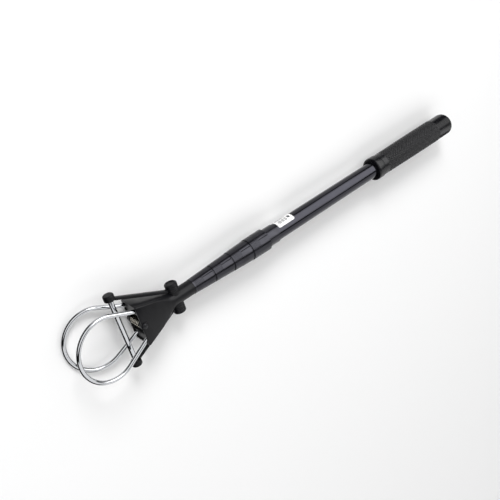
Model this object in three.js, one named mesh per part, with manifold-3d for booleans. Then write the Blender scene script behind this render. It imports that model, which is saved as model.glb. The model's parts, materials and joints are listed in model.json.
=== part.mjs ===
// Telescopic golf ball retriever, collapsed. Millimetres, +Z up.
// +X runs along the shaft from the wire hoops to the butt of the grip, and the hoops stand one above the
// other along Z. The pieces are laid out with X = 0 at the head's mouth and Z = 0 on the shaft's axis, and
// the whole group is then moved so that it rests on Z = 0, centred on its length.
import * as THREE from 'three';
import { mergeVertices } from 'three/addons/utils/BufferGeometryUtils.js';
import Module from 'manifold-3d';

const wasm = await Module();
wasm.setup();

// ---------------------------------------------------------------- driving sizes
const SEAT_GAP = 0.3;             // between pieces that touch or are seated on the real object
const CUT_OVERRUN = 1;            // how far a hole's cutter reaches past the face it opens

// telescope: stage 1 is the tube in the grip, stage 5 the tube in the head
const OUTER_TUBE_RADIUS = 10.05;
const OUTER_TUBE_WALL = 0.7;
const INNER_TUBE_WALL = 0.6;
const TUBE_RUNNING_GAP = 0.5;     // radial gap from each tube to the one around it
const OUTER_TUBE_LENGTH = 336;
const STAGE_COUNT = 5;
const COLLAR_LIP = 6;             // solid nose in front of a tube's mouth
const COLLAR_GUIDE_GAP = 0.25;    // radial gap from the nose's bore to the tube that slides in it
const COLLAR_NOSE_ROUND = 0.9;
const COLLAR_SLIT_WIDTH = 0.9;
const COLLAR_SLIT_LENGTH = 11;
const COLLAR_SLIT_COUNT = 4;
const COLLAR_RIB_DEPTH = 0.25;
const COLLAR_RIB_PITCH = 2.4;
const BUSH_FLANGE = 3;
const BUSH_SPIGOT = 8;
const BUSH_SLIDE_GAP = 0.2;       // radial gap from a bush's flange to the bore it slides in
const BUSH_BORE_RADIUS = 2;

// collars from the head to the grip: length, and wall at the nose and at the tail
const COLLAR_4 = { length: 26.8, noseWall: 2.95, tailWall: 2.8 };
const COLLAR_3 = { length: 27.9, noseWall: 3.3, tailWall: 3.3 };
const COLLAR_2 = { length: 24.7, noseWall: 3.65, tailWall: 3.3 };
const OUTER_COLLAR = { length: 15, noseWall: 3.65, tailWall: 2.55 };
const OUTER_COLLAR_SLEEVE_LENGTH = 14.5;
const OUTER_COLLAR_SLEEVE_WALL = 0.6;

// head: a hollow fan that blends into a round neck
const MOUTH_HALF_WIDTH = 23.4;
const MOUTH_HALF_HEIGHT = 14.4;
const HEAD_CORNER_RADIUS = 1.8;
const HEAD_WALL = 1.9;
const HEAD_EDGE_BEVEL = 1.2;
const FAN_LENGTH = 44;
const FAN_STATIONS = [0.25, 0.5, 0.7, 0.85, 1];
const FAN_SQUARE_SHARE = 0.55;    // of the fan's length; from here its section rounds off into the neck
const MOUTH_RECESS = 1.2;         // from the rim to the blocks that hold the wire legs
const LEG_BLOCK_WALL = 3;         // from a wire leg's hole to the hollow between the blocks
const CAVITY_END_HALF_WIDTH = 3;
const CAVITY_CORNER_RADIUS = 1;
const NECK_WALL = 2.2;
const NECK_LENGTH = 35.3;
const NECK_SOCKET_DEPTH = 25;

// wire hoops
const WIRE_RADIUS = 2.2;
const HOOP_HALF_LENGTH = 30.65;
const HOOP_HALF_WIDTH = 32.7;
const HOOP_CENTRE_X = -37.8;
const HOOP_LEG_FROM_SIDE = 6.05;  // from the head's side to a leg's centreline
const HOOP_SPLAY = THREE.MathUtils.degToRad(5.8);
const HOOP_LEG_DEPTH = 18;        // length of a leg inside the head

// tie pin and spring across the mouth
const TIE_PIN_X = 2.6;
const TIE_PIN_RADIUS = 1.5;
const TIE_HEAD_RADIUS = 3.2;
const TIE_HEAD_HEIGHT = 1.3;
const TIE_CAP_HOLD = 0.5;         // length of the pin's end inside its push-on cap
const TIE_SEAT_RADIUS = 4;
const TIE_BOSS_LENGTH = 3.2;      // inwards from the wall
const SPRING_COIL_RADIUS = 3.4;
const SPRING_WIRE_RADIUS = 0.7;
const SPRING_TURNS = 6;

// bail: two arms on the neck's pivot bosses, joined by a crossbar between the hoops
const PIVOT_FROM_FAN = 4.5;
const PIVOT_RADIUS = 6.65;
const PIVOT_BOSS_HEIGHT = 0.7;    // above the neck
const PIVOT_SCREW_RADIUS = 1.7;
const PIVOT_SCREW_LENGTH = 5;
const PIVOT_SHOULDER_RADIUS = 2.3;
const WASHER_THICKNESS = 0.5;
const HUB_THICKNESS = 3.3;
const KNOB_HEAD_THICKNESS = 3.5;
const KNOB_RECESS_DEPTH = 0.4;
const KNOB_RIM = 1.2;
const KNOB_EDGE = 0.8;
const ARM_WIDTH = 3.2;
const ARM_HEIGHT = 4.5;
const ARM_ROUND = 0.6;
const ARM_ELBOW = 1;              // the arm turns outwards this far beyond its hub
const ARM_ELBOW_LAP = 0.4;
const CROSSBAR_RADIUS = 2.65;
const CROSSBAR_CHAMFER = 0.5;
const CROSSBAR_X = -14.3;
const KNUCKLE_RADIUS = 5.5;
const KNUCKLE_FROM_HOOP = 1.3;    // from the hoops' widest line to a knuckle's inner face
const KNUCKLE_LENGTH = 6.4;
const KNUCKLE_ROUND = 1.6;
const KNUCKLE_END_WALL = 1.2;
const ARM_END_INSET = 1.7;        // from the knuckle's inner face to the arm's middle

// grip
const GRIP_LENGTH = 157;
const GRIP_FLANGE_WALL = 4.35;
const GRIP_FLANGE_WIDTH = 11.5;
const GRIP_FLANGE_ROUND = 2.5;
const GRIP_FLANGE_BACK_ROUND = 1;
const GRIP_FLANGE_STEP = 0.6;
const GRIP_NECK_LENGTH = 8;
const GRIP_END_LENGTH = 31;       // plain stretch behind the belly
const GRIP_END_STEP = 1.2;
const GRIP_NECK_WALL = 3.2;
const GRIP_BELLY_WALL = 4.5;
const GRIP_END_WALL = 3.85;
const GRIP_BUTT_WALL = 6.5;
const GRIP_BUTT_GAP = 4.5;        // from the tube's end plug to the inside of the butt
const GRIP_BUTT_ROUND = 6;

// label on the outer tube
const LABEL_LENGTH = 24;
const LABEL_THICKNESS = 0.2;
const LABEL_HALF_ANGLE = THREE.MathUtils.degToRad(50);
const LABEL_FROM_COLLAR = 2;

// facets
const ROUND_FACETS = 24;
const GRIP_FACETS = 28;
const SMALL_FACETS = 14;
const WIRE_FACETS = 12;
const HOOP_STEPS = 42;
const COIL_STEPS = 8;             // per turn
const COIL_FACETS = 6;
const LOFT_CORNER_POINTS = 5;
const GRIP_BELLY_STEPS = 4;
const LABEL_STEPS = 8;
const FILLET_STEPS = 2;
const DOME_STEPS = 3;

// ---------------------------------------------------------------- sizes that follow
const COLLARS = [OUTER_COLLAR, COLLAR_2, COLLAR_3, COLLAR_4];
const STAGE_STEP = INNER_TUBE_WALL + TUBE_RUNNING_GAP;
const NECK_BORE = tubeRadius(STAGE_COUNT) + SEAT_GAP;
const NECK_RADIUS = NECK_BORE + NECK_WALL;
const NECK_END = FAN_LENGTH + NECK_LENGTH;
const PIVOT_X = FAN_LENGTH + PIVOT_FROM_FAN;
const FAN_SLOPE = (MOUTH_HALF_WIDTH - NECK_RADIUS) / FAN_LENGTH;
const LEG_HOLE_RADIUS = WIRE_RADIUS + SEAT_GAP;
const HOOP_LEG_Y = MOUTH_HALF_WIDTH - HOOP_LEG_FROM_SIDE;
const HOOP_MOUTH_Z = MOUTH_HALF_HEIGHT - HEAD_WALL - SEAT_GAP - WIRE_RADIUS;
const CAVITY_MOUTH_HALF_WIDTH = HOOP_LEG_Y - LEG_HOLE_RADIUS - LEG_BLOCK_WALL;
const CAVITY_LENGTH = (CAVITY_MOUTH_HALF_WIDTH - CAVITY_END_HALF_WIDTH) / FAN_SLOPE;
const TIE_BOSS_FACE = MOUTH_HALF_HEIGHT - HEAD_WALL - TIE_BOSS_LENGTH;
const PIVOT_BOSS_FACE = NECK_RADIUS + PIVOT_BOSS_HEIGHT;
const WASHER_FACE = PIVOT_BOSS_FACE + SEAT_GAP;
const HUB_FACE = WASHER_FACE + WASHER_THICKNESS + SEAT_GAP;
const KNOB_FACE = HUB_FACE + HUB_THICKNESS + SEAT_GAP;
const KNUCKLE_INNER_FACE = HOOP_HALF_WIDTH + WIRE_RADIUS + KNUCKLE_FROM_HOOP;
const GRIP_BORE = OUTER_TUBE_RADIUS + SEAT_GAP;
const GRIP_FLANGE_RADIUS = GRIP_BORE + GRIP_FLANGE_WALL;
const GRIP_NECK_RADIUS = GRIP_BORE + GRIP_NECK_WALL;
const GRIP_BELLY_RADIUS = GRIP_BORE + GRIP_BELLY_WALL;
const GRIP_END_RADIUS = GRIP_BORE + GRIP_END_WALL;

function tubeRadius(stage) {
  if (stage === 1) {
    return OUTER_TUBE_RADIUS;
  }
  const secondRadius = OUTER_TUBE_RADIUS - OUTER_TUBE_WALL - TUBE_RUNNING_GAP;
  return secondRadius - (stage - 2) * STAGE_STEP;
}

function tubeBore(stage) {
  return tubeRadius(stage) - (stage === 1 ? OUTER_TUBE_WALL : INNER_TUBE_WALL);
}

// the collars are stacked nose to tail behind the neck, so a stage's collar starts after all smaller ones
function collarStart(stage) {
  let x = NECK_END + SEAT_GAP;
  for (let smaller = STAGE_COUNT - 1; smaller > stage; smaller -= 1) {
    x += COLLARS[smaller - 1].length + SEAT_GAP;
  }
  return x;
}

function tubeMouth(stage) {
  if (stage === STAGE_COUNT) {
    return NECK_END - NECK_SOCKET_DEPTH + SEAT_GAP;
  }
  return collarStart(stage) + COLLAR_LIP + SEAT_GAP;
}

// each tube ends ahead of the bush that closes the tube around it
function tubeTail(stage) {
  if (stage === 1) {
    return tubeMouth(1) + OUTER_TUBE_LENGTH;
  }
  return tubeTail(stage - 1) - BUSH_SPIGOT - BUSH_FLANGE - 2 * SEAT_GAP;
}

// ---------------------------------------------------------------- tools
function solid(geometry) {
  const bare = geometry.clone();
  bare.deleteAttribute('normal');
  bare.deleteAttribute('uv');
  const welded = mergeVertices(bare, 1e-4);
  const index = welded.index.array;
  const triangles = [];
  for (let i = 0; i < index.length; i += 3) {
    const [a, b, c] = [index[i], index[i + 1], index[i + 2]];
    if (a !== b && b !== c && a !== c) {
      triangles.push(a, b, c);
    }
  }
  const mesh = new wasm.Mesh({
    numProp: 3,
    vertProperties: Float32Array.from(welded.attributes.position.array),
    triVerts: Uint32Array.from(triangles),
  });
  return new wasm.Manifold(mesh);
}

function surface(body) {
  const mesh = body.getMesh();
  const geometry = new THREE.BufferGeometry();
  geometry.setAttribute('position', new THREE.BufferAttribute(mesh.vertProperties, 3));
  geometry.setIndex(new THREE.BufferAttribute(mesh.triVerts, 1));
  geometry.computeVertexNormals();
  return geometry;
}

// a body of revolution about X; the profile is a list of [x, radius], outer side first, in the +X direction
function turned(profile, facets = ROUND_FACETS) {
  const points = profile.map(([x, radius]) => new THREE.Vector2(radius, x));
  const [first, last] = [points[0], points[points.length - 1]];
  if (first.x > 0 || last.x > 0) {
    points.push(first.clone());
  }
  const geometry = new THREE.LatheGeometry(points, facets);
  geometry.rotateZ(-Math.PI / 2);
  return geometry;
}

function ring(x0, x1, outer, inner, facets = ROUND_FACETS) {
  return turned([[x0, inner], [x0, outer], [x1, outer], [x1, inner]], facets);
}

function rod(x0, x1, radius, facets = SMALL_FACETS) {
  return turned([[x0, 0], [x0, radius], [x1, radius], [x1, 0]], facets);
}

// turns a piece made about X so that its axis points along Y or Z
function alongY(geometry) {
  return geometry.rotateZ(Math.PI / 2);
}

function alongZ(geometry) {
  return geometry.rotateY(-Math.PI / 2);
}

function roundArc(x, radius, round, from, to, steps = FILLET_STEPS) {
  const points = [];
  for (let i = 0; i <= steps; i += 1) {
    const angle = from + (to - from) * (i / steps);
    points.push([x + round * Math.cos(angle), radius + round * Math.sin(angle)]);
  }
  return points;
}

function lofted(sections) {
  const positions = [];
  for (const { x, points } of sections) {
    for (const [y, z] of points) {
      positions.push(x, y, z);
    }
  }
  const count = sections[0].points.length;
  const last = sections.length - 1;
  const triangles = [];
  for (let s = 0; s < last; s += 1) {
    for (let j = 0; j < count; j += 1) {
      const k = (j + 1) % count;
      const [a, b] = [s * count + j, s * count + k];
      triangles.push(a, b, a + count);
      triangles.push(b, b + count, a + count);
    }
  }
  const firstCentre = positions.length / 3;
  for (const { x, points } of [sections[0], sections[last]]) {
    const y = points.reduce((sum, point) => sum + point[0], 0) / count;
    const z = points.reduce((sum, point) => sum + point[1], 0) / count;
    positions.push(x, y, z);
  }
  for (let j = 0; j < count; j += 1) {
    const k = (j + 1) % count;
    triangles.push(firstCentre, k, j);
    triangles.push(firstCentre + 1, last * count + j, last * count + k);
  }
  const geometry = new THREE.BufferGeometry();
  geometry.setAttribute('position', new THREE.Float32BufferAttribute(positions, 3));
  geometry.setIndex(triangles);
  return geometry;
}

function roundedSection(halfWidth, halfHeight, corner) {
  const points = [];
  for (let quarter = 0; quarter < 4; quarter += 1) {
    const signY = quarter === 0 || quarter === 3 ? 1 : -1;
    const signZ = quarter < 2 ? 1 : -1;
    for (let k = 0; k < LOFT_CORNER_POINTS; k += 1) {
      const angle = (quarter + (k + 0.5) / LOFT_CORNER_POINTS) * (Math.PI / 2);
      const y = signY * (halfWidth - corner) + corner * Math.cos(angle);
      const z = signZ * (halfHeight - corner) + corner * Math.sin(angle);
      points.push([y, z]);
    }
  }
  return points;
}

// ---------------------------------------------------------------- materials
const MATERIALS = {
  tube: { color: 0x1b1c1f, roughness: 0.35, metalness: 0.6 },
  collar: { color: 0x18181b, roughness: 0.45, metalness: 0 },
  bush: { color: 0x2a2a2d, roughness: 0.6, metalness: 0 },
  moulding: { color: 0x141416, roughness: 0.5, metalness: 0 },
  rubber: { color: 0x131314, roughness: 0.85, metalness: 0 },
  chrome: { color: 0xe6e8ea, roughness: 0.08, metalness: 1 },
  spring: { color: 0xb9a36a, roughness: 0.3, metalness: 1 },
  rivet: { color: 0x1a1a1c, roughness: 0.4, metalness: 0.5 },
  paper: { color: 0xf2f2f0, roughness: 0.6, metalness: 0 },
};

const retriever = new THREE.Group();

function addPiece(name, geometry, material) {
  const mesh = new THREE.Mesh(geometry, new THREE.MeshStandardMaterial(MATERIALS[material]));
  mesh.name = name;
  retriever.add(mesh);
}

// ---------------------------------------------------------------- telescope
function tube(stage) {
  return ring(tubeMouth(stage), tubeTail(stage), tubeRadius(stage), tubeBore(stage));
}

function collarBody(stage) {
  const { length, noseWall, tailWall } = COLLARS[stage - 1];
  const start = collarStart(stage);
  const end = start + length;
  const guide = tubeRadius(stage + 1) + COLLAR_GUIDE_GAP;
  const seat = tubeRadius(stage) + SEAT_GAP;
  const [nose, tail] = [guide + noseWall, seat + tailWall];
  const ribZone = length / 2 - COLLAR_RIB_PITCH;
  const ribCount = Math.floor(ribZone / COLLAR_RIB_PITCH);
  const profile = [[start, guide], [start, nose - COLLAR_NOSE_ROUND]];
  profile.push([start + COLLAR_NOSE_ROUND, nose]);
  const slope = (tail - nose) / length;
  for (let i = 1; i <= ribCount; i += 1) {
    const x = start + i * COLLAR_RIB_PITCH;
    const radius = nose + slope * (x - start);
    profile.push([x, radius - COLLAR_RIB_DEPTH]);
    profile.push([x + COLLAR_RIB_PITCH / 2, radius]);
  }
  profile.push([end - COLLAR_NOSE_ROUND / 2, tail]);
  profile.push([end, tail - COLLAR_NOSE_ROUND / 2]);
  if (stage === 1) {
    const sleeve = seat + OUTER_COLLAR_SLEEVE_WALL;
    profile.push([end + (tail - sleeve) / 2, sleeve]);
    profile.push([end + OUTER_COLLAR_SLEEVE_LENGTH, sleeve]);
    profile.push([end + OUTER_COLLAR_SLEEVE_LENGTH, seat]);
  } else {
    profile.push([end, seat]);
  }
  profile.push([start + COLLAR_LIP, seat]);
  profile.push([start + COLLAR_LIP, guide]);
  return solid(turned(profile));
}

// the slits let the tail of a collar grip its tube
function collar(stage) {
  const { length, tailWall } = COLLARS[stage - 1];
  const slitEnd = collarStart(stage) + length - COLLAR_NOSE_ROUND;
  const reach = tubeRadius(stage) + SEAT_GAP + tailWall;
  let body = collarBody(stage);
  for (let i = 0; i < COLLAR_SLIT_COUNT; i += 1) {
    const slit = new THREE.BoxGeometry(COLLAR_SLIT_LENGTH, COLLAR_SLIT_WIDTH, reach);
    slit.translate(slitEnd - COLLAR_SLIT_LENGTH / 2, 0, reach / 2 + tubeRadius(stage) / 2);
    slit.rotateX((i + 0.5) * (2 * Math.PI / COLLAR_SLIT_COUNT));
    body = body.subtract(solid(slit));
  }
  return surface(body);
}

// a plug in the tail of a tube; its flange runs in the tube around it
function bush(stage) {
  const tail = tubeTail(stage);
  const flange = tubeBore(stage - 1) - BUSH_SLIDE_GAP;
  const spigot = tubeBore(stage) - SEAT_GAP;
  return turned([
    [tail - BUSH_SPIGOT, BUSH_BORE_RADIUS],
    [tail - BUSH_SPIGOT, spigot],
    [tail + SEAT_GAP, spigot],
    [tail + SEAT_GAP, flange],
    [tail + SEAT_GAP + BUSH_FLANGE, flange],
    [tail + SEAT_GAP + BUSH_FLANGE, BUSH_BORE_RADIUS],
  ]);
}

function tubeEndPlug() {
  const tail = tubeTail(1);
  const spigot = tubeBore(1) - SEAT_GAP;
  const length = BUSH_SPIGOT / 2;
  return turned([
    [tail - length, 0],
    [tail - length, spigot],
    [tail + SEAT_GAP, spigot],
    [tail + SEAT_GAP, tubeRadius(1)],
    [tail + SEAT_GAP + BUSH_FLANGE / 2, tubeRadius(1)],
    [tail + SEAT_GAP + BUSH_FLANGE / 2, 0],
  ]);
}

function gripEnd() {
  return tubeTail(1) + SEAT_GAP + BUSH_FLANGE / 2 + GRIP_BUTT_GAP + GRIP_BUTT_WALL;
}

function grip() {
  const end = gripEnd();
  const start = end - GRIP_LENGTH;
  const flangeEnd = start + GRIP_FLANGE_WIDTH;
  const [lip, back, dome] = [GRIP_FLANGE_ROUND, GRIP_FLANGE_BACK_ROUND, GRIP_BUTT_ROUND];
  const profile = [[start, GRIP_BORE]];
  profile.push(...roundArc(start + lip, GRIP_FLANGE_RADIUS - lip, lip, Math.PI, Math.PI / 2));
  profile.push(...roundArc(flangeEnd - back, GRIP_FLANGE_RADIUS - back, back, Math.PI / 2, 0));
  profile.push([flangeEnd + GRIP_FLANGE_STEP, GRIP_NECK_RADIUS]);
  const bellyStart = flangeEnd + GRIP_NECK_LENGTH;
  const bellyEnd = end - GRIP_END_LENGTH;
  profile.push([bellyStart, GRIP_NECK_RADIUS]);
  for (let i = 1; i <= GRIP_BELLY_STEPS; i += 1) {
    const share = i / GRIP_BELLY_STEPS;
    const rise = (GRIP_BELLY_RADIUS - GRIP_NECK_RADIUS) * Math.sin(share * Math.PI / 2);
    profile.push([bellyStart + share * (bellyEnd - bellyStart), GRIP_NECK_RADIUS + rise]);
  }
  profile.push([bellyEnd + GRIP_END_STEP, GRIP_END_RADIUS]);
  profile.push(...roundArc(end - dome, GRIP_END_RADIUS - dome, dome, Math.PI / 2, 0));
  profile.push([end, 0]);
  profile.push([end - GRIP_BUTT_WALL, 0]);
  profile.push([end - GRIP_BUTT_WALL, GRIP_BORE]);
  return turned(profile, GRIP_FACETS);
}

function label() {
  const inner = tubeRadius(1) + SEAT_GAP;
  const outer = inner + LABEL_THICKNESS;
  const start = collarStart(1) + OUTER_COLLAR.length + OUTER_COLLAR_SLEEVE_LENGTH + LABEL_FROM_COLLAR;
  const shape = new THREE.Shape();
  shape.absarc(0, 0, outer, -LABEL_HALF_ANGLE, LABEL_HALF_ANGLE, false);
  shape.absarc(0, 0, inner, LABEL_HALF_ANGLE, -LABEL_HALF_ANGLE, true);
  const geometry = new THREE.ExtrudeGeometry(shape, {
    depth: LABEL_LENGTH,
    bevelEnabled: false,
    curveSegments: LABEL_STEPS,
  });
  geometry.rotateZ(Math.PI / 2);
  geometry.rotateY(Math.PI / 2);
  geometry.translate(start, 0, 0);
  return geometry;
}

// ---------------------------------------------------------------- hoops
class EllipseArc extends THREE.Curve {
  constructor(from, to) {
    super();
    this.from = from;
    this.to = to;
  }

  getPoint(t, target = new THREE.Vector3()) {
    const angle = this.from + (this.to - this.from) * t;
    const x = HOOP_CENTRE_X + HOOP_HALF_LENGTH * Math.cos(angle);
    return target.set(x, HOOP_HALF_WIDTH * Math.sin(angle), 0);
  }
}

// the wire's route in the hoop's own plane: in along one side of the fan, round the ring, and back
function hoopRoute(legDepth) {
  const across = -HOOP_CENTRE_X / HOOP_HALF_LENGTH;
  const up = HOOP_LEG_Y / HOOP_HALF_WIDTH;
  const tangent = Math.atan2(up, across) + Math.acos(1 / Math.hypot(across, up));
  const arc = new EllipseArc(tangent, 2 * Math.PI - tangent);
  const inside = new THREE.Vector3(legDepth, HOOP_LEG_Y - FAN_SLOPE * legDepth, 0);
  const mouth = new THREE.Vector3(0, HOOP_LEG_Y, 0);
  const flip = new THREE.Vector3(1, -1, 1);
  const route = new THREE.CurvePath();
  route.add(new THREE.LineCurve3(inside, mouth));
  route.add(new THREE.LineCurve3(mouth, arc.getPoint(0)));
  route.add(arc);
  route.add(new THREE.LineCurve3(arc.getPoint(1), mouth.clone().multiply(flip)));
  route.add(new THREE.LineCurve3(mouth.clone().multiply(flip), inside.clone().multiply(flip)));
  return route;
}

function hoop(side, radius = WIRE_RADIUS, legDepth = HOOP_LEG_DEPTH) {
  const section = new THREE.Shape();
  section.absarc(0, 0, radius, 0, 2 * Math.PI, false);
  const geometry = new THREE.ExtrudeGeometry(section, {
    steps: HOOP_STEPS,
    curveSegments: WIRE_FACETS / 2,
    extrudePath: hoopRoute(legDepth),
  });
  geometry.rotateY(side * HOOP_SPLAY);
  geometry.translate(0, 0, side * HOOP_MOUTH_Z);
  return geometry;
}

// ---------------------------------------------------------------- head
function fanSize(x) {
  const share = THREE.MathUtils.clamp(x / FAN_LENGTH, 0, 1);
  const halfWidth = THREE.MathUtils.lerp(MOUTH_HALF_WIDTH, NECK_RADIUS, share);
  const halfHeight = THREE.MathUtils.lerp(MOUTH_HALF_HEIGHT, NECK_RADIUS, share);
  return { share, halfWidth, halfHeight };
}

// the fan's section at x, drawn in by an inset and set at another place along the shaft if one is given
function fanSection(x, inset = 0, at = x) {
  const { share, halfWidth, halfHeight } = fanSize(x);
  const [width, height] = [halfWidth - inset, halfHeight - inset];
  const roundness = THREE.MathUtils.smoothstep(share, FAN_SQUARE_SHARE, 1);
  const square = HEAD_CORNER_RADIUS - inset / 2;
  const corner = THREE.MathUtils.lerp(square, Math.min(width, height), roundness);
  return { x: at, points: roundedSection(width, height, corner) };
}

function fanOuter() {
  const bevel = HEAD_EDGE_BEVEL / 2;
  const sections = [fanSection(0, bevel), fanSection(HEAD_EDGE_BEVEL)];
  for (const share of FAN_STATIONS) {
    sections.push(fanSection(share * FAN_LENGTH));
  }
  sections.push(fanSection(FAN_LENGTH, 0, NECK_END - bevel));
  sections.push(fanSection(FAN_LENGTH, bevel, NECK_END));
  return solid(lofted(sections));
}

// the recess inside the rim, and the hollow between the two blocks that hold the wire legs
function headHollow() {
  const recess = [-CUT_OVERRUN, MOUTH_RECESS].map((x) => fanSection(x, HEAD_WALL));
  const cavity = [0, CAVITY_LENGTH].map((x) => {
    const share = x / CAVITY_LENGTH;
    const halfWidth = THREE.MathUtils.lerp(CAVITY_MOUTH_HALF_WIDTH, CAVITY_END_HALF_WIDTH, share);
    const halfHeight = fanSize(x).halfHeight - HEAD_WALL;
    return { x, points: roundedSection(halfWidth, halfHeight, Math.min(CAVITY_CORNER_RADIUS, halfWidth)) };
  });
  return solid(lofted(recess)).add(solid(lofted(cavity)));
}

// a rod about Y at the pivot, from one distance to another off the mid-plane, on the given side
function pivotRod(side, from, to, radius) {
  const [start, end] = side > 0 ? [from, to] : [-to, -from];
  return solid(alongY(rod(start, end, radius, ROUND_FACETS)).translate(PIVOT_X, 0, 0));
}

function tieRod(side, from, to, radius) {
  const [start, end] = side > 0 ? [from, to] : [-to, -from];
  return solid(alongZ(rod(start, end, radius)).translate(TIE_PIN_X, 0, 0));
}

function headBody() {
  const tieHole = TIE_PIN_RADIUS + SEAT_GAP;
  const screwHole = PIVOT_SCREW_RADIUS + SEAT_GAP;
  const screwHoleEnd = PIVOT_BOSS_FACE - PIVOT_SCREW_LENGTH - SEAT_GAP;
  let body = fanOuter().subtract(headHollow());
  for (const side of [1, -1]) {
    body = body.add(tieRod(side, TIE_BOSS_FACE, MOUTH_HALF_HEIGHT, TIE_SEAT_RADIUS));
    body = body.add(pivotRod(side, 0, PIVOT_BOSS_FACE, PIVOT_RADIUS));
  }
  for (const side of [1, -1]) {
    const pinHole = tieRod(side, TIE_BOSS_FACE - CUT_OVERRUN, MOUTH_HALF_HEIGHT + CUT_OVERRUN, tieHole);
    const legHoles = solid(hoop(side, LEG_HOLE_RADIUS, HOOP_LEG_DEPTH + SEAT_GAP));
    body = body.subtract(pinHole).subtract(legHoles);
    body = body.subtract(pivotRod(side, screwHoleEnd, PIVOT_BOSS_FACE + CUT_OVERRUN, screwHole));
  }
  const socket = rod(NECK_END - NECK_SOCKET_DEPTH, NECK_END + CUT_OVERRUN, NECK_BORE, ROUND_FACETS);
  return surface(body.subtract(solid(socket)));
}

// ---------------------------------------------------------------- tie pin and spring
function domedHead(face, profileStart) {
  const profile = [...profileStart, [face, TIE_HEAD_RADIUS]];
  for (let i = 1; i <= DOME_STEPS; i += 1) {
    const angle = (i / DOME_STEPS) * (Math.PI / 2);
    profile.push([face + TIE_HEAD_HEIGHT * Math.sin(angle), TIE_HEAD_RADIUS * Math.cos(angle)]);
  }
  return profile;
}

function tiePin() {
  const face = MOUTH_HALF_HEIGHT + SEAT_GAP;
  const tip = face + TIE_CAP_HOLD;
  const profile = domedHead(face, [[-tip, 0], [-tip, TIE_PIN_RADIUS], [face, TIE_PIN_RADIUS]]);
  return alongZ(turned(profile, SMALL_FACETS)).translate(TIE_PIN_X, 0, 0);
}

function tieCap() {
  const face = MOUTH_HALF_HEIGHT + SEAT_GAP;
  const bore = TIE_PIN_RADIUS + SEAT_GAP;
  const boreEnd = face + TIE_CAP_HOLD + SEAT_GAP;
  const profile = domedHead(face, [[boreEnd, 0], [boreEnd, bore], [face, bore]]);
  const geometry = alongZ(turned(profile, SMALL_FACETS)).translate(TIE_PIN_X, 0, 0);
  return geometry.rotateX(Math.PI);
}

class Helix extends THREE.Curve {
  constructor(radius, length, turns) {
    super();
    this.radius = radius;
    this.length = length;
    this.turns = turns;
  }

  getPoint(t, target = new THREE.Vector3()) {
    const angle = 2 * Math.PI * this.turns * t;
    const z = (t - 0.5) * this.length;
    return target.set(this.radius * Math.cos(angle), this.radius * Math.sin(angle), z);
  }
}

function tieSpring() {
  const section = new THREE.Shape();
  section.absarc(0, 0, SPRING_WIRE_RADIUS, 0, 2 * Math.PI, false);
  const length = 2 * (TIE_BOSS_FACE - SEAT_GAP - SPRING_WIRE_RADIUS);
  const geometry = new THREE.ExtrudeGeometry(section, {
    steps: SPRING_TURNS * COIL_STEPS,
    curveSegments: COIL_FACETS / 2,
    extrudePath: new Helix(SPRING_COIL_RADIUS, length, SPRING_TURNS),
  });
  return geometry.translate(TIE_PIN_X, 0, 0);
}

// ---------------------------------------------------------------- bail
function pivotKnob(side) {
  const tip = PIVOT_BOSS_FACE - PIVOT_SCREW_LENGTH;
  const shoulder = PIVOT_BOSS_FACE + SEAT_GAP;
  const radius = PIVOT_RADIUS;
  const top = KNOB_FACE + KNOB_HEAD_THICKNESS;
  const profile = [[tip, 0], [tip, PIVOT_SCREW_RADIUS], [shoulder, PIVOT_SCREW_RADIUS]];
  profile.push([shoulder, PIVOT_SHOULDER_RADIUS], [KNOB_FACE, PIVOT_SHOULDER_RADIUS]);
  profile.push([KNOB_FACE, radius]);
  profile.push(...roundArc(top - KNOB_EDGE, radius - KNOB_EDGE, KNOB_EDGE, Math.PI / 2, 0));
  profile.push([top, radius - KNOB_RIM], [top - KNOB_RECESS_DEPTH, radius - KNOB_RIM - KNOB_RECESS_DEPTH]);
  profile.push([top - KNOB_RECESS_DEPTH, 0]);
  const geometry = alongY(turned(profile));
  geometry.rotateX(side > 0 ? 0 : Math.PI);
  return geometry.translate(PIVOT_X, 0, 0);
}

function pivotWasher(side) {
  const bore = PIVOT_SHOULDER_RADIUS + SEAT_GAP;
  const geometry = alongY(ring(WASHER_FACE, WASHER_FACE + WASHER_THICKNESS, PIVOT_RADIUS, bore));
  geometry.rotateX(side > 0 ? 0 : Math.PI);
  return geometry.translate(PIVOT_X, 0, 0);
}

function armBar(from, to) {
  const [x, y] = [ARM_HEIGHT / 2, ARM_WIDTH / 2];
  const section = new THREE.Shape();
  section.absarc(x - ARM_ROUND, y - ARM_ROUND, ARM_ROUND, 0, Math.PI / 2, false);
  section.absarc(ARM_ROUND - x, y - ARM_ROUND, ARM_ROUND, Math.PI / 2, Math.PI, false);
  section.absarc(ARM_ROUND - x, ARM_ROUND - y, ARM_ROUND, Math.PI, 1.5 * Math.PI, false);
  section.absarc(x - ARM_ROUND, ARM_ROUND - y, ARM_ROUND, 1.5 * Math.PI, 2 * Math.PI, false);
  return solid(new THREE.ExtrudeGeometry(section, {
    steps: 1,
    curveSegments: 2,
    extrudePath: new THREE.LineCurve3(from, to),
  }));
}

function knuckle() {
  const end = KNUCKLE_INNER_FACE + KNUCKLE_LENGTH;
  const edge = KNUCKLE_ROUND / 2;
  const profile = [[KNUCKLE_INNER_FACE, 0], [KNUCKLE_INNER_FACE, KNUCKLE_RADIUS - edge]];
  profile.push([KNUCKLE_INNER_FACE + edge, KNUCKLE_RADIUS]);
  const centre = KNUCKLE_RADIUS - KNUCKLE_ROUND;
  profile.push(...roundArc(end - KNUCKLE_ROUND, centre, KNUCKLE_ROUND, Math.PI / 2, 0));
  profile.push([end, 0]);
  return solid(alongY(turned(profile)).translate(CROSSBAR_X, 0, 0));
}

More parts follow.
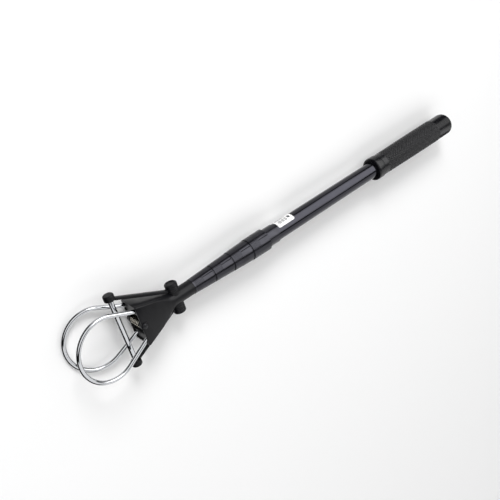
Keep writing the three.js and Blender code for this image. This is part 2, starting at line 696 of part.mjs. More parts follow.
function arm(side) {
  const hubEnd = HUB_FACE + HUB_THICKNESS;
  const hubMiddle = HUB_FACE + HUB_THICKNESS / 2;
  const start = new THREE.Vector3(PIVOT_X, hubMiddle, 0);
  const elbow = new THREE.Vector3(PIVOT_X - PIVOT_RADIUS - ARM_ELBOW, hubMiddle, 0);
  const lapped = new THREE.Vector3(elbow.x + ARM_ELBOW_LAP, hubMiddle, 0);
  const end = new THREE.Vector3(CROSSBAR_X, KNUCKLE_INNER_FACE + ARM_END_INSET, 0);
  let body = pivotRod(1, HUB_FACE, hubEnd, PIVOT_RADIUS).add(knuckle());
  body = body.add(armBar(start, elbow)).add(armBar(lapped, end));
  const pivotBore = PIVOT_SHOULDER_RADIUS + SEAT_GAP;
  body = body.subtract(pivotRod(1, HUB_FACE - CUT_OVERRUN, hubEnd + CUT_OVERRUN, pivotBore));
  const socketEnd = KNUCKLE_INNER_FACE + KNUCKLE_LENGTH - KNUCKLE_END_WALL;
  const socket = alongY(rod(0, socketEnd, CROSSBAR_RADIUS + SEAT_GAP, ROUND_FACETS));
  body = body.subtract(solid(socket.translate(CROSSBAR_X, 0, 0)));
  return surface(side > 0 ? body : body.mirror([0, 1, 0]));
}

function crossbar() {
  const half = KNUCKLE_INNER_FACE + KNUCKLE_LENGTH - KNUCKLE_END_WALL - SEAT_GAP;
  const neck = CROSSBAR_RADIUS - CROSSBAR_CHAMFER;
  const profile = [[-half, 0], [-half, neck], [CROSSBAR_CHAMFER - half, CROSSBAR_RADIUS]];
  profile.push([half - CROSSBAR_CHAMFER, CROSSBAR_RADIUS], [half, neck], [half, 0]);
  return alongY(turned(profile)).translate(CROSSBAR_X, 0, 0);
}

// ---------------------------------------------------------------- assembly
addPiece('grip', grip(), 'rubber');
addPiece('tube_end_plug', tubeEndPlug(), 'bush');
addPiece('outer_tube', tube(1), 'tube');
addPiece('outer_collar', collar(1), 'collar');
addPiece('label', label(), 'paper');
for (let stage = 2; stage <= STAGE_COUNT; stage += 1) {
  addPiece(`tube_${stage}`, tube(stage), 'tube');
  addPiece(`bush_${stage}`, bush(stage), 'bush');
  if (stage < STAGE_COUNT) {
    addPiece(`collar_${stage}`, collar(stage), 'collar');
  }
}
addPiece('head_body', headBody(), 'moulding');
addPiece('hoop_front', hoop(1), 'chrome');
addPiece('hoop_rear', hoop(-1), 'chrome');
addPiece('tie_pin', tiePin(), 'rivet');
addPiece('tie_cap', tieCap(), 'rivet');
addPiece('tie_spring', tieSpring(), 'spring');
for (const [name, side] of [['upper', 1], ['lower', -1]]) {
  addPiece(`pivot_knob_${name}`, pivotKnob(side), 'moulding');
  addPiece(`pivot_washer_${name}`, pivotWasher(side), 'bush');
  addPiece(`arm_${name}`, arm(side), 'moulding');
}
addPiece('crossbar', crossbar(), 'chrome');

// the object lies on the far end of the lower hoop and on its grip
const bounds = new THREE.Box3().setFromObject(retriever, true);
retriever.position.set(-(bounds.min.x + bounds.max.x) / 2, 0, -bounds.min.z);

export default retriever;
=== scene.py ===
"""Looks for the collapsed telescopic golf ball retriever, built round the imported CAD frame.

The object lies on its lower hoop and its grip, with +X along the shaft to the butt of the grip. Pieces are
laid out in millimetres in shaft space, where X is 0 at the head's mouth and Y and Z are 0 on the shaft's
axis, and `placed` turns that into metres in the row frame.
"""

import json
import math

import bmesh
import bpy
from mathutils import Matrix, Vector


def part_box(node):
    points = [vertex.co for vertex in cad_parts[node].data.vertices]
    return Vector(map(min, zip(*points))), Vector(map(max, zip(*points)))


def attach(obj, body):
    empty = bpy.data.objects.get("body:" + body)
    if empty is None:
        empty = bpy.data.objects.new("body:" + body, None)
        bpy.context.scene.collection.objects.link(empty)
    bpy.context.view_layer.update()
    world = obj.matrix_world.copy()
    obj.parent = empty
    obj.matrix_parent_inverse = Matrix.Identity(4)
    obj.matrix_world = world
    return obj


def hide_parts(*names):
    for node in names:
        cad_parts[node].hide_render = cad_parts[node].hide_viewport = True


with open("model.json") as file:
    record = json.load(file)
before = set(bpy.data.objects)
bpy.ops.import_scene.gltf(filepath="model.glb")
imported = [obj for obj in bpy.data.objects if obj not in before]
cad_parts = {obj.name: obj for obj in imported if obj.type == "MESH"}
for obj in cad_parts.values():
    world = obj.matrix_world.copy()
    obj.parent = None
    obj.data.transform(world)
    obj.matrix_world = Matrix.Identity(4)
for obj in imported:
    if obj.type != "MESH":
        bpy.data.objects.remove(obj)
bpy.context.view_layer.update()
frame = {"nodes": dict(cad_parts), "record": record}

MM = 0.001
NECK_END = 79.3
MOUTH_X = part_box("head_body")[1].x - NECK_END * MM
AXIS_Z = (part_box("outer_tube")[0].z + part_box("outer_tube")[1].z) / 2


def placed(x, y, z):
    return Vector((x * MM + MOUTH_X, y * MM, z * MM + AXIS_Z))


def start_of(node):
    """Where a CAD node starts along the shaft, in shaft space."""
    return (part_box(node)[0].x - MOUTH_X) / MM


def end_of(node):
    return (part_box(node)[1].x - MOUTH_X) / MM


# ------------------------------------------------------------------ mesh tools
SMOOTH_BELOW = math.radians(32)


def piece(name, shape_data, material, body, slot, *replaced):
    """A mesh object in the row frame that rides on a body, with sharp edges kept where faces turn a
    corner. The CAD nodes that it stands for come last."""
    verts, faces = shape_data
    mesh = bpy.data.meshes.new(name)
    mesh.from_pydata([placed(*v) for v in verts], [], faces)
    shape = bmesh.new()
    shape.from_mesh(mesh)
    bmesh.ops.recalc_face_normals(shape, faces=shape.faces)
    for face in shape.faces:
        face.smooth = True
    for edge in shape.edges:
        if len(edge.link_faces) == 2:
            edge.smooth = edge.calc_face_angle(0) < SMOOTH_BELOW
    shape.to_mesh(mesh)
    shape.free()
    made = bpy.data.objects.new(name, mesh)
    bpy.context.scene.collection.objects.link(made)
    mesh.materials.append(material)
    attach(made, body)
    if replaced:
        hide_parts(*replaced)
    return made


def skin(rings):
    """(vertices, faces) over a row of closed rings, with a flat cap at each end."""
    count = len(rings[0])
    verts = [point for ring in rings for point in ring]
    faces = []
    for i in range(len(rings) - 1):
        for j in range(count):
            k = (j + 1) % count
            faces.append((i * count + j, i * count + k, (i + 1) * count + k, (i + 1) * count + j))
    faces.append(tuple(range(count)))
    faces.append(tuple(range(len(verts) - count, len(verts))))
    return verts, faces


def turned(profile, segments=96, angles=None, sunk=None):
    """(vertices, faces) of a profile of (x, radius) turned about X. The profile starts and ends on the axis
    or closes on itself, and sunk(x, angle, radius) lowers the surface locally."""
    angles = angles or [2 * math.pi * j / segments for j in range(segments)]
    count = len(angles)
    verts, rings, faces = [], [], []
    for x, radius in profile:
        rings.append(range(len(verts), len(verts) + (count if radius > 0 else 1)))
        if radius <= 0:
            verts.append((x, 0, 0))
            continue
        for angle in angles:
            r = radius - (sunk(x, angle, radius) if sunk else 0)
            verts.append((x, r * math.sin(angle), r * math.cos(angle)))
    pairs = list(zip(rings, rings[1:]))
    if profile[0][1] > 0:
        pairs.append((rings[-1], rings[0]))
    for a, b in pairs:
        for j in range(count):
            k = (j + 1) % count
            if len(a) > 1 and len(b) > 1:
                faces.append((a[j], a[k], b[k], b[j]))
            elif len(a) > 1:
                faces.append((a[j], a[k], b[0]))
            elif len(b) > 1:
                faces.append((a[0], b[k], b[j]))
    return verts, faces


def moved(mesh, where):
    """The (vertices, faces) with every vertex put through a function."""
    return [where(*v) for v in mesh[0]], mesh[1]


def joined(*meshes):
    verts, faces = [], []
    for mesh in meshes:
        faces += [tuple(i + len(verts) for i in face) for face in mesh[1]]
        verts += mesh[0]
    return verts, faces


def arc(x, radius, size, start, end, steps=6):
    """Points (x, radius) round a fillet, between two angles in degrees from +X."""
    points = []
    for i in range(steps + 1):
        angle = math.radians(start + (end - start) * i / steps)
        points.append((x + size * math.cos(angle), radius + size * math.sin(angle)))
    return points


def swept(route, section):
    """(vertices, faces) of a closed section of (across, up) carried along a route of points."""
    points = [Vector(p) for p in route]
    rings = []
    up = Vector((0, 0, 1))
    for i, point in enumerate(points):
        ahead = (points[min(i + 1, len(points) - 1)] - points[max(i - 1, 0)]).normalized()
        up = (up - ahead * up.dot(ahead)).normalized()
        across = ahead.cross(up)
        rings.append([tuple(point + across * a + up * b) for a, b in section])
    return skin(rings)


def circle(radius, count):
    return [(radius * math.cos(2 * math.pi * i / count), radius * math.sin(2 * math.pi * i / count))
            for i in range(count)]


def rounded_box(width, height, round_, steps=5):
    points = []
    for quarter in range(4):
        cx = (width / 2 - round_) * (1 if quarter in (0, 3) else -1)
        cy = (height / 2 - round_) * (1 if quarter < 2 else -1)
        points += arc(cx, cy, round_, 90 * quarter, 90 * quarter + 90, steps)
    return points


# ------------------------------------------------------------------ materials
def material(name, colour, roughness, metallic=0.0, **sockets):
    made = bpy.data.materials.new(name)
    made.use_nodes = True
    shader = made.node_tree.nodes["Principled BSDF"]
    shader.inputs["Base Color"].default_value = (*colour, 1)
    shader.inputs["Roughness"].default_value = roughness
    shader.inputs["Metallic"].default_value = metallic
    for socket, value in sockets.items():
        shader.inputs[socket.replace("_", " ")].default_value = value
    return made


def add(made, kind, **settings):
    node = made.node_tree.nodes.new(kind)
    for key, value in settings.items():
        if key.startswith("in_"):
            node.inputs[key[3:].replace("_", " ")].default_value = value
        else:
            setattr(node, key, value)
    return node


def link(made, source, target):
    made.node_tree.links.new(source, target)


def noise_of(made, scale, detail=3.0, stretch=(1, 1, 1)):
    """A noise value in object space; the pieces are in metres, so scale is features per metre."""
    place = add(made, "ShaderNodeTexCoord")
    mapping = add(made, "ShaderNodeMapping")
    mapping.inputs["Scale"].default_value = stretch
    noise = add(made, "ShaderNodeTexNoise", in_Scale=scale, in_Detail=detail)
    link(made, place.outputs["Object"], mapping.inputs["Vector"])
    link(made, mapping.outputs["Vector"], noise.inputs["Vector"])
    return noise.outputs["Fac"]


def vary_roughness(made, value, low, high):
    shader = made.node_tree.nodes["Principled BSDF"]
    spread = add(made, "ShaderNodeMapRange", in_To_Min=low, in_To_Max=high, in_From_Min=0.3, in_From_Max=0.7)
    link(made, value, spread.inputs["Value"])
    link(made, spread.outputs["Result"], shader.inputs["Roughness"])


def vary_colour(made, value, dark, light):
    shader = made.node_tree.nodes["Principled BSDF"]
    ramp = add(made, "ShaderNodeValToRGB")
    ramp.color_ramp.elements[0].position = 0.3
    ramp.color_ramp.elements[1].position = 0.7
    ramp.color_ramp.elements[0].color = (*dark, 1)
    ramp.color_ramp.elements[1].color = (*light, 1)
    link(made, value, ramp.inputs["Fac"])
    link(made, ramp.outputs["Color"], shader.inputs["Base Color"])


def bumped(made, value, height_mm, strength=1.0):
    shader = made.node_tree.nodes["Principled BSDF"]
    bump = add(made, "ShaderNodeBump", in_Strength=strength, in_Distance=height_mm * MM)
    link(made, value, bump.inputs["Height"])
    link(made, bump.outputs["Normal"], shader.inputs["Normal"])


def tube_coating():
    made = material("tube_coating", (0.036, 0.036, 0.043), 0.12, 0.9)
    grain = noise_of(made, 900, 2, (0.05, 1, 1))
    vary_roughness(made, grain, 0.09, 0.14)
    vary_colour(made, noise_of(made, 60, 2), (0.034, 0.034, 0.041), (0.038, 0.038, 0.046))
    bumped(made, grain, 0.003, 0.4)
    return made


def moulded(name, colour, roughness, metallic=0.0, grain_mm=0.012, specular=0.5):
    """Black moulded plastic with a fine spark-eroded grain."""
    made = material(name, colour, roughness, metallic, Specular_IOR_Level=specular)
    grain = noise_of(made, 2600, 3)
    vary_roughness(made, noise_of(made, 140, 2), roughness - 0.05, roughness + 0.06)
    light = tuple(1.25 * c for c in colour)
    dark = tuple(0.8 * c for c in colour)
    vary_colour(made, noise_of(made, 90, 4), dark, light)
    bumped(made, grain, grain_mm, 0.6)
    return made


def rubber():
    made = material("grip_rubber", (0.005, 0.005, 0.006), 0.26, 0.0, Specular_IOR_Level=0.28)
    vary_roughness(made, noise_of(made, 500, 4), 0.2, 0.3)
    vary_colour(made, noise_of(made, 120, 3), (0.004, 0.004, 0.005), (0.006, 0.006, 0.0075))
    bumped(made, noise_of(made, 3200, 2), 0.006, 0.4)
    return made


def chrome():
    made = material("chrome_plate", (0.56, 0.57, 0.59), 0.05, 1.0)
    vary_roughness(made, noise_of(made, 220, 3), 0.035, 0.075)
    bumped(made, noise_of(made, 400, 1), 0.002, 0.25)
    return made


def spring_metal():
    made = material("spring_metal", (0.5, 0.48, 0.43), 0.12, 1.0)
    vary_colour(made, noise_of(made, 700, 3), (0.42, 0.38, 0.3), (0.58, 0.56, 0.52))
    vary_roughness(made, noise_of(made, 900, 2), 0.07, 0.16)
    return made


def label_film():
    made = material("label_film", (0.86, 0.86, 0.85), 0.4)
    bumped(made, noise_of(made, 1500, 2), 0.004, 0.3)
    vary_roughness(made, noise_of(made, 300, 2), 0.35, 0.46)
    return made


def label_ink():
    made = material("label_ink", (0.05, 0.05, 0.06), 0.45)
    vary_colour(made, noise_of(made, 2200, 2), (0.03, 0.03, 0.04), (0.09, 0.09, 0.1))
    return made


TUBE = tube_coating()
COLLAR = moulded("collar_plastic", (0.03, 0.03, 0.036), 0.17, 0.75, 0.004)
MOULDING = moulded("head_plastic", (0.0045, 0.0045, 0.0056), 0.34, 0, 0.01, 0.2)
BUSH = moulded("bush_plastic", (0.012, 0.012, 0.013), 0.5, 0, 0.01, 0.3)
RUBBER = rubber()
CHROME = chrome()
SPRING = spring_metal()
RIVET = moulded("rivet_black", (0.012, 0.012, 0.014), 0.3, 0.3, 0.003, 0.35)
LABEL = label_film()
INK = label_ink()

SLOT_MATERIALS = {
    "rubber": RUBBER,
    "black_tube": TUBE,
    "collar_plastic": COLLAR,
    "bush_plastic": BUSH,
    "moulding": MOULDING,
    "chrome_wire": CHROME,
    "spring_metal": SPRING,
    "rivet_metal": RIVET,
    "label_paper": LABEL,
}


# ------------------------------------------------------------------ CAD nodes that stay in view
def smooth_by_angle():
    """A modifier group that smooths shading across a CAD node's facets and keeps its corners sharp."""
    group = bpy.data.node_groups.new("smooth_by_angle", "GeometryNodeTree")
    group.interface.new_socket("Geometry", in_out="INPUT", socket_type="NodeSocketGeometry")
    group.interface.new_socket("Geometry", in_out="OUTPUT", socket_type="NodeSocketGeometry")
    nodes = group.nodes
    source = nodes.new("NodeGroupInput")
    result = nodes.new("NodeGroupOutput")
    weld = nodes.new("GeometryNodeMergeByDistance")
    weld.inputs["Distance"].default_value = 0.002 * MM
    bare = nodes.new("GeometryNodeRemoveAttribute")
    bare.inputs["Name"].default_value = "custom_normal"
    angle = nodes.new("GeometryNodeInputMeshEdgeAngle")
    flat = nodes.new("FunctionNodeCompare")
    flat.operation = "LESS_THAN"
    flat.inputs[1].default_value = SMOOTH_BELOW
    faces = nodes.new("GeometryNodeSetShadeSmooth")
    edges = nodes.new("GeometryNodeSetShadeSmooth")
    edges.domain = "EDGE"
    group.links.new(source.outputs[0], weld.inputs["Geometry"])
    group.links.new(weld.outputs["Geometry"], bare.inputs["Geometry"])
    group.links.new(bare.outputs["Geometry"], faces.inputs["Geometry"])
    group.links.new(faces.outputs["Geometry"], edges.inputs["Geometry"])
    group.links.new(angle.outputs["Unsigned Angle"], flat.inputs[0])
    group.links.new(flat.outputs["Result"], edges.inputs["Shade Smooth"])
    group.links.new(edges.outputs["Geometry"], result.inputs[0])
    return group


SMOOTHING = smooth_by_angle()
for part in frame["record"]["subparts"]:
    node = frame["nodes"][part["node"]]
    node.data.materials.clear()
    node.data.materials.append(SLOT_MATERIALS[part["material_slot"]])
    node.modifiers.new("smoothing", "NODES").node_group = SMOOTHING


# ------------------------------------------------------------------ grip
GRIP_BORE = 10.12
BORE_CHAMFER = 0.4
FLANGE_RADIUS = 14.7
FLANGE_WIDTH = 11.5
FLANGE_NOSE_FILLET = 2.5
FLANGE_TAIL_FILLET = 1
GRIP_NECK_RADIUS = 13.95
GRIP_NECK_LENGTH = 8
BELLY_RADIUS = 14.85
GRIP_END_RADIUS = 14.5
GRIP_END_LENGTH = 31
BUTT_ROUND = 6
BUTT_WALL = 6.5
# the cove behind the flange, the belly's rounded edge and the cove behind it, as (along, above the neck,
# the belly and the end)
FLANGE_COVE = ((0.15, 0.25), (0.5, 0))
BELLY_EDGE = ((0.25, 0), (0.5, -0.08))
BELLY_COVE = ((0.9, 0.06), (1.2, 0))
DIAMONDS_ROUND = 26
DIAMOND_LENGTH = 3.8
DIAMOND_GROOVE = 0.6
GROOVE_SHARE = 0.55
TEXTURE_FADE = 1.5
GRIP_COLUMNS = 300
TEXTURE_STEP = 0.36


def grip():
    start, end = start_of("grip"), end_of("grip")
    flange_end = start + FLANGE_WIDTH
    belly_start = flange_end + GRIP_NECK_LENGTH
    belly_end = end - GRIP_END_LENGTH
    profile = [(start + BORE_CHAMFER, GRIP_BORE), (start, GRIP_BORE + BORE_CHAMFER)]
    nose, tail = FLANGE_NOSE_FILLET, FLANGE_TAIL_FILLET
    profile += arc(start + nose, FLANGE_RADIUS - nose, nose, 180, 90, 10)
    profile += arc(flange_end - tail, FLANGE_RADIUS - tail, tail, 90, 10, 6)
    profile += [(flange_end + along, GRIP_NECK_RADIUS + above) for along, above in FLANGE_COVE]
    profile.append((belly_start - 0.1, GRIP_NECK_RADIUS))
    rows = int((belly_end - belly_start) / TEXTURE_STEP)
    for i in range(rows + 1):
        share = i / rows
        rise = (BELLY_RADIUS - GRIP_NECK_RADIUS) * math.sin(share * math.pi / 2)
        profile.append((belly_start + share * (belly_end - belly_start), GRIP_NECK_RADIUS + rise))
    profile += [(belly_end + along, BELLY_RADIUS + above) for along, above in BELLY_EDGE]
    profile += [(belly_end + along, GRIP_END_RADIUS + above) for along, above in BELLY_COVE]
    profile += arc(end - BUTT_ROUND, GRIP_END_RADIUS - BUTT_ROUND, BUTT_ROUND, 90, 0, 14)
    profile += [(end, 0), (end - BUTT_WALL, 0), (end - BUTT_WALL, GRIP_BORE)]

    def groove(x, angle, radius):
        """Two families of helical grooves that leave raised diamonds between them."""
        inside = min(x - belly_start, belly_end - x)
        if inside <= 0 or radius < GRIP_NECK_RADIUS:
            return 0
        along = math.pi * x / DIAMOND_LENGTH
        turn = DIAMONDS_ROUND * angle / 2
        nearest = min(abs(math.sin(turn + along)), abs(math.sin(turn - along)))
        fade = min(inside / TEXTURE_FADE, 1)
        return DIAMOND_GROOVE * fade * max(0, 1 - nearest / GROOVE_SHARE)

    piece("grip_sleeve", turned(profile, GRIP_COLUMNS, sunk=groove), RUBBER, "handle", "rubber", "grip")


# ------------------------------------------------------------------ telescope
# each tube: its radius, its bore and the body that it rides on
TUBES = {
    "outer_tube": (10.05, 9.35, "handle"),
    "tube_2": (8.85, 8.25, "stage_2"),
    "tube_3": (7.75, 7.15, "stage_3"),
    "tube_4": (6.65, 6.05, "stage_4"),
    "tube_5": (5.55, 4.95, "head"),
}
TUBE_CHAMFER = 0.15
TUBE_BORE_CHAMFER = 0.1


def tubes():
    rim, lip = TUBE_CHAMFER, TUBE_BORE_CHAMFER
    for node, (outer, bore, body) in TUBES.items():
        start, end = start_of(node), end_of(node)
        profile = [(start, bore + lip), (start, outer - rim), (start + rim, outer), (end - rim, outer)]
        profile += [(end, outer - rim), (end, bore + lip), (end - lip, bore), (start + lip, bore)]
        piece(node + "_skin", turned(profile, 144), TUBE, body, "black_tube", node)


# each collar: start and end of its large part, radius at the nose and tail, bore over the inner tube, bore
# over its own tube, body. They are 10 to 15 mm nearer the head than the CAD collars that they stand for.
COLLARS = {
    "collar_4": (69.1, 95.2, 8.35, 9.5, 5.8, 6.85, "stage_4"),
    "collar_3": (95.5, 120.3, 9.65, 10.75, 6.9, 7.95, "stage_3"),
    "collar_2": (120.6, 146.7, 11.0, 12.2, 8.0, 9.05, "stage_2"),
    "outer_collar": (147.0, 172.3, 12.5, 12.75, 9.1, 10.2, "handle"),
}
# the seat on the collar's own tube begins this far behind the CAD collar's nose
COLLAR_LIP = 6
NECK_SKIRT_BORE = 8.15
SKIRT_CHAMFER = 0.1
GUIDE_CHAMFER = 0.3
NOSE_STEP = 1.0
NOSE_GAP = 0.7
NOSE_FILLET = 0.3
TAIL_FILLET = 0.45
SLEEVE_LENGTH = 15.3
SLEEVE_RADIUS = 10.95
SLEEVE_FILLET = 0.3
# the cove from the large part down to the sleeve, as (behind the tail, above the sleeve)
SLEEVE_COVE = ((0.05, 0.5), (0.3, 0.12), (0.8, 0))
SLIT_LENGTH = 13
SLIT_WIDTH = 0.9
SLIT_FROM_TAIL = 0.5
SLIT_WALL = 0.02
SLIT_WALL_ANGLE = 0.001
SLIT_FLOOR = 0.01
SKIN_MARGIN = 0.1
RIBS_FROM_NOSE = 2.2
RIB_PITCH = 1.3
RIB_FLANK = 0.2
RIB_DEPTH = 0.1
COLLAR_COLUMNS = 120


def collar(node):
    """A tapered collar with fine ribs over its front half and four slits behind them. The first one's front
    is a skirt round the end of the neck."""
    start, end, nose, tail, guide, seat, body = COLLARS[node]
    lip = start_of(node)
    slope = (tail - nose) / (end - start)
    slit = (end - SLIT_FROM_TAIL - SLIT_LENGTH, end - SLIT_FROM_TAIL)
    if node == "collar_4":
        profile = [(lip, guide), (lip, NECK_SKIRT_BORE), (start, NECK_SKIRT_BORE)]
        profile += [(start, nose - SKIRT_CHAMFER), (start + SKIRT_CHAMFER, nose)]
    else:
        face = start + NOSE_GAP
        profile = [(start + GUIDE_CHAMFER, guide), (start, guide + GUIDE_CHAMFER)]
        profile += [(start, nose - NOSE_STEP), (face, nose - NOSE_STEP)]
        profile += arc(face + NOSE_FILLET, nose - NOSE_FILLET, NOSE_FILLET, 180, 90, 4)
    x = start + RIBS_FROM_NOSE
    while x < start + (end - start) / 2 - RIB_PITCH:
        radius = nose + slope * (x - start)
        for i, depth in enumerate((0, RIB_DEPTH, RIB_DEPTH, 0)):
            profile.append((x + i * RIB_FLANK, radius - depth))
        x += RIB_PITCH
    for edge in slit:
        radius = nose + slope * (edge - start)
        profile += [(edge - SLIT_WALL, radius), (edge + SLIT_WALL, radius)]
    profile += arc(end - TAIL_FILLET, tail - TAIL_FILLET, TAIL_FILLET, 90, 0, 5)
    if node == "outer_collar":
        profile += [(end + behind, SLEEVE_RADIUS + above) for behind, above in SLEEVE_COVE]
        sleeve_end = end + SLEEVE_LENGTH
        profile += arc(sleeve_end - SLEEVE_FILLET, SLEEVE_RADIUS - SLEEVE_FILLET, SLEEVE_FILLET, 90, 0, 4)
        profile.append((sleeve_end, seat))
    else:
        profile.append((end, seat))
    profile += [(lip + COLLAR_LIP, seat), (lip + COLLAR_LIP, guide)]
    half = SLIT_WIDTH / 2 / tail
    middles = [math.radians(45 + 90 * i) for i in range(4)]
    walls = [middle + side * (half + off) for middle in middles for side in (-1, 1)
             for off in (-SLIT_WALL_ANGLE, SLIT_WALL_ANGLE)]
    angles = sorted([2 * math.pi * j / COLLAR_COLUMNS for j in range(COLLAR_COLUMNS)] + walls)

    def cut(x, angle, radius):
        if radius <= seat + SKIN_MARGIN or not slit[0] < x < slit[1]:
            return 0
        return radius - seat - SLIT_FLOOR if any(abs(angle - m) < half for m in middles) else 0

    piece(node + "_moulding", turned(profile, angles=angles, sunk=cut), COLLAR, body, "collar_plastic", node)


LABEL_HALF_ANGLE = math.radians(50)
LABEL_INNER = 10.07
LABEL_THICKNESS = 0.09
LABEL_CORNER = 1.6
PATCH_STEPS = 24
INK_THICKNESS = 0.01
BARS = 9
BARS_FROM_END = 3
BAR_PITCH = 1.5
WIDE_BAR = 0.9
THIN_BAR = 0.5
LINES_FROM_END = 2
LINE_LENGTHS = (15, 11, 17, 9)
LINE_WIDTH = 0.8


def patch(x0, x1, along0, along1, corner, low, high):
    """(vertices, faces) of a rounded rectangle that is wrapped over the tube's +Y side, between two radii.
    It is cut finely along the arc, so that it bends round the tube."""
    rings = []
    for i in range(PATCH_STEPS + 1):
        along = along0 + (along1 - along0) * i / PATCH_STEPS
        edge = min(along - along0, along1 - along)
        inset = corner - math.sqrt(max(corner ** 2 - max(corner - edge, 0) ** 2, 0))
        angle = math.pi / 2 + along / LABEL_INNER
        corners = ((x0 + inset, low), (x1 - inset, low), (x1 - inset, high), (x0 + inset, high))
        rings.append([(x, radius * math.sin(angle), radius * math.cos(angle)) for x, radius in corners])
    return skin(rings)


def label():
    """A white sticker with a row of bars, four lines and a spot, which stand for its print."""
    start, end = start_of("label"), end_of("label")
    half = LABEL_HALF_ANGLE * LABEL_INNER
    top = LABEL_INNER + LABEL_THICKNESS
    film = patch(start, end, -half, half, LABEL_CORNER, LABEL_INNER, top)
    piece("label_film", film, LABEL, "handle", "label_paper", "label")

    def mark(x0, x1, along0, along1, corner):
        return patch(x0, x1, along0, along1, corner, top, top + INK_THICKNESS)

    marks = []
    for i in range(BARS):
        x = start + BARS_FROM_END + i * BAR_PITCH
        marks.append(mark(x, x + (WIDE_BAR if i % 3 else THIN_BAR), -half * 0.55, 0.0, 0.05))
    for i, length in enumerate(LINE_LENGTHS):
        x = start + LINES_FROM_END
        along = half * (0.12 + 0.18 * i)
        marks.append(mark(x, x + length, along, along + LINE_WIDTH, 0.2))
    marks.append(mark(end - 6.2, end - 2.6, -half * 0.4, half * 0.1, 0.8))
    piece("label_marks", joined(*marks), INK, "handle", "label_paper")


# ------------------------------------------------------------------ hoops
WIRE_RADIUS = 2.19
HOOP_CENTRE = 37.8
HOOP_HALF_LENGTH = 30.65
HOOP_HALF_WIDTH = 32.7
LEG_Y = 17.35
LEG_SLOPE = 0.3489
LEG_DEPTH = 18
LEG_Z = 10.0
LEG_BEND_OUT = 0.03
LEG_STEPS = 8
HOOP_STEPS = 90
SPLAY = math.radians(5.8)


def hoop(node, side):
    """A wire that comes out of the head on one leg, goes round an ellipse and returns on the other leg."""
    across, up = HOOP_CENTRE / HOOP_HALF_LENGTH, LEG_Y / HOOP_HALF_WIDTH
    tangent = math.atan2(up, across) + math.acos(1 / math.hypot(across, up))
    turn = [tangent + (math.pi - tangent) * i / HOOP_STEPS for i in range(HOOP_STEPS + 1)]
    ring = [(HOOP_HALF_LENGTH * math.cos(a) - HOOP_CENTRE, HOOP_HALF_WIDTH * math.sin(a)) for a in turn]
    depths = [LEG_DEPTH * (1 - i / LEG_STEPS) for i in range(LEG_STEPS)]
    leg = [(depth, LEG_Y - LEG_SLOPE * depth) for depth in depths]
    first = ring[0]
    shares = [i / LEG_STEPS for i in range(1, LEG_STEPS)]
    reach = [(first[0] * share, LEG_Y + (first[1] - LEG_Y) * share) for share in shares]
    half = leg + [(0.0, LEG_Y + LEG_BEND_OUT)] + reach + ring
    route = half + [(x, -y) for x, y in reversed(half[:-1])]
    wire = swept([(x, y, 0) for x, y in route], circle(WIRE_RADIUS, 28))
    cos, sin = math.cos(side * SPLAY), math.sin(side * SPLAY)
    wire = moved(wire, lambda x, y, z: (x * cos + z * sin, y, z * cos - x * sin + side * LEG_Z))
    piece(node + "_wire", wire, CHROME, "head", "chrome_wire", node)


# ------------------------------------------------------------------ tie pin and spring
TIE_X = 2.6
TIE_FACE = 14.4
TIE_SHANK_RADIUS = 1.45
TIE_SHANK_CHAMFER = 0.15
TIE_SHANK_PAST_FACE = 0.7
TIE_HEAD_GAP = 0.2
TIE_HEAD_RADIUS = 3.2
TIE_HEAD_RIM = 0.1
TIE_HEAD_EDGE = 0.15
TIE_HEAD_HEIGHT = 1.25
TIE_CAP_BORE = 1.6
TIE_CAP_BORE_DEPTH = 0.7
SPRING_TURNS = 6
SPRING_RADIUS = 3.4
SPRING_WIRE = 0.7
SPRING_STEPS = 28


def tie():
    """The rivet across the mouth, the cap on its far end and the spring round its middle."""
    def upright(side):
        return lambda x, y, z: (TIE_X - z, y, side * x)

    seat = TIE_FACE + TIE_HEAD_GAP
    rim = seat + TIE_HEAD_EDGE
    crown = [(rim + TIE_HEAD_HEIGHT * math.sin(math.radians(a)), TIE_HEAD_RADIUS * math.cos(math.radians(a)))
             for a in range(0, 90, 9)]
    dome = [(seat, TIE_HEAD_RADIUS - TIE_HEAD_RIM)] + crown + [(rim + TIE_HEAD_HEIGHT, 0)]
    tip = -TIE_FACE - TIE_SHANK_PAST_FACE
    shank = [(tip, 0), (tip, TIE_SHANK_RADIUS - TIE_SHANK_CHAMFER)]
    shank += [(tip + 0.2, TIE_SHANK_RADIUS), (seat, TIE_SHANK_RADIUS)]
    rivet = moved(turned(shank + dome, 48), upright(1))
    piece("tie_pin_rivet", rivet, RIVET, "head", "rivet_metal", "tie_pin")
    floor_of_bore = seat + TIE_CAP_BORE_DEPTH
    cap = [(floor_of_bore, 0), (floor_of_bore, TIE_CAP_BORE), (seat, TIE_CAP_BORE)] + dome
    button = moved(turned(cap, 48), upright(-1))
    piece("tie_cap_rivet", button, RIVET, "head", "rivet_metal", "tie_cap")
    low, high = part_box("tie_spring")
    reach = (high.z - low.z) / MM / 2 - SPRING_WIRE
    route = []
    for i in range(SPRING_TURNS * SPRING_STEPS + 1):
        share = i / (SPRING_TURNS * SPRING_STEPS)
        angle = 2 * math.pi * SPRING_TURNS * share
        along = (2 * share - 1) * reach
        route.append((TIE_X + SPRING_RADIUS * math.cos(angle), SPRING_RADIUS * math.sin(angle), along))
    coil = swept(route, circle(SPRING_WIRE, 12))
    piece("tie_spring_coil", coil, SPRING, "head", "spring_metal", "tie_spring")


